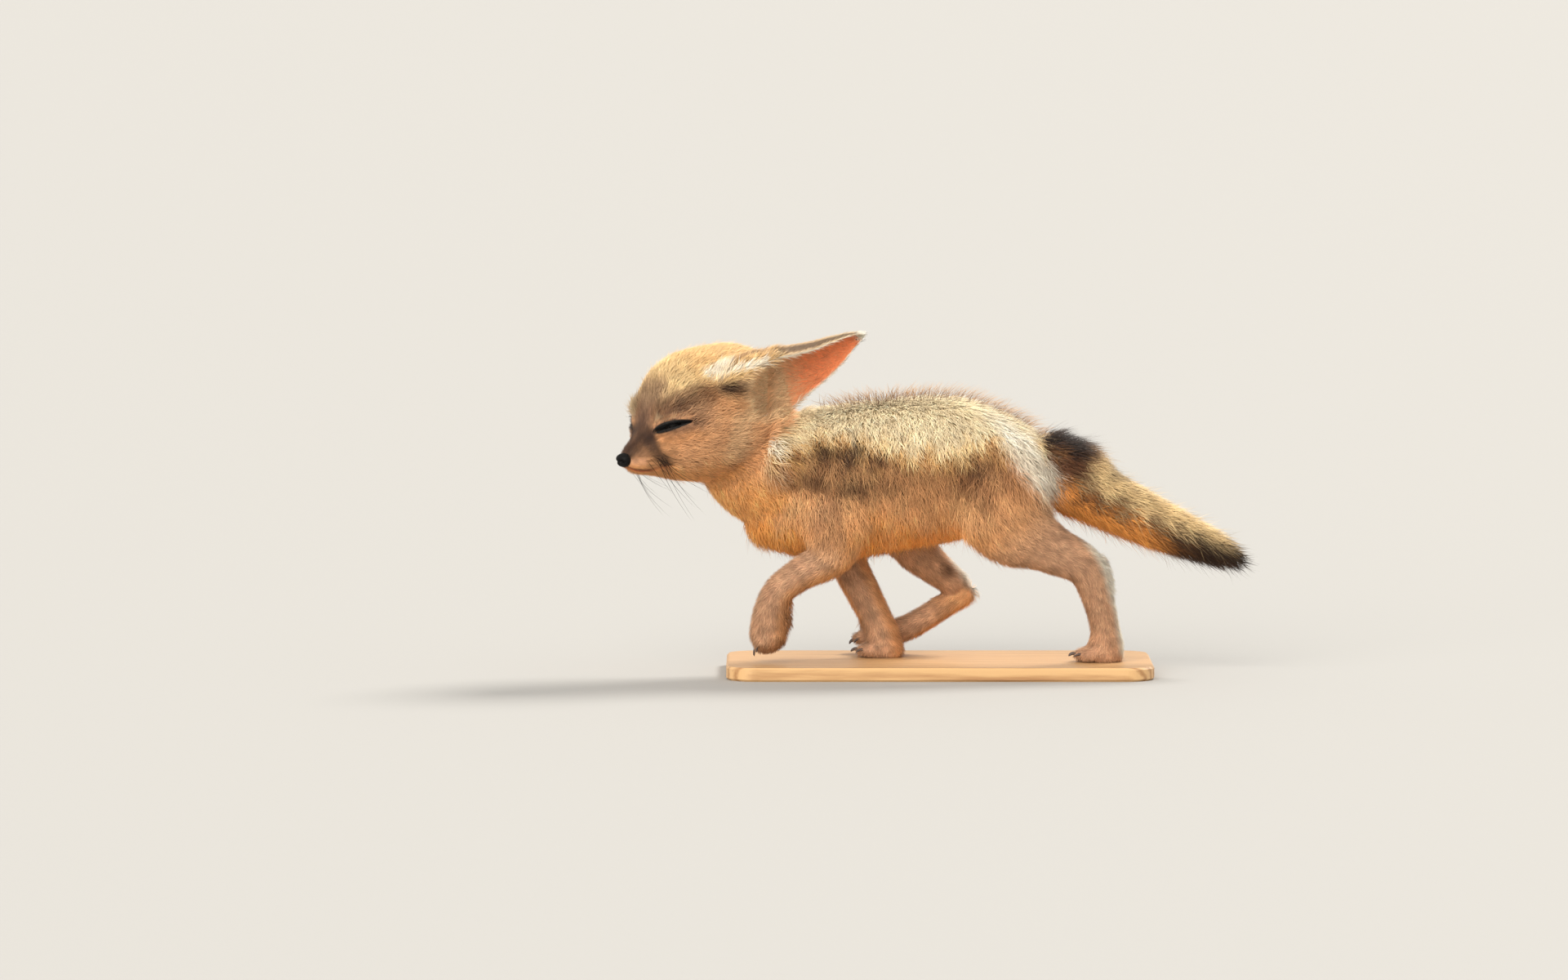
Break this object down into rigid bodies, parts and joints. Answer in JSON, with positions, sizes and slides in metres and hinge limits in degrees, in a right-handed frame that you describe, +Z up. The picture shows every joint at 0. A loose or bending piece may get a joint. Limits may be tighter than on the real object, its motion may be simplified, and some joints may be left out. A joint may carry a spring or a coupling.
{
  "type": "fennec fox",
  "caption": "Life-size still model of a young fennec fox walking into the wind, ears laid back and one foreleg lifted, fixed by its standing feet to a flat wooden base.",
  "frame": {"origin": "centre of the underside of the display base", "axes": "+Z up, -X the way the fox walks, -Y towards the fox's left side"},
  "size_m": [0.365, 0.1297, 0.2011],
  "materials": {
    "coat_pale": "long soft straw-coloured fur with darker tips on the flank",
    "coat_tawny": "short dense tawny fur",
    "coat_tail": "bushy sandy fur with dark brown sides and a black tip",
    "ear_skin": "thin pink-orange skin with pale hairs inside and a white rim",
    "eye": "wet gloss",
    "nose_skin": "moist black pebbled skin",
    "base_wood": "pale oak, satin varnish"
  },
  "bodies": {
    "root": {"head": "coat_pale", "neck": "coat_tawny", "torso": "coat_pale", "left_foreleg": "coat_tawny", "right_foreleg": "coat_tawny", "left_hind_leg": "coat_tawny", "right_hind_leg": "coat_tawny", "tail": "coat_tail", "left_ear": "ear_skin", "right_ear": "ear_skin", "left_eye": "eye", "right_eye": "eye", "nose": "nose_skin", "stand_base": "base_wood"}
  },
  "joints": []
}
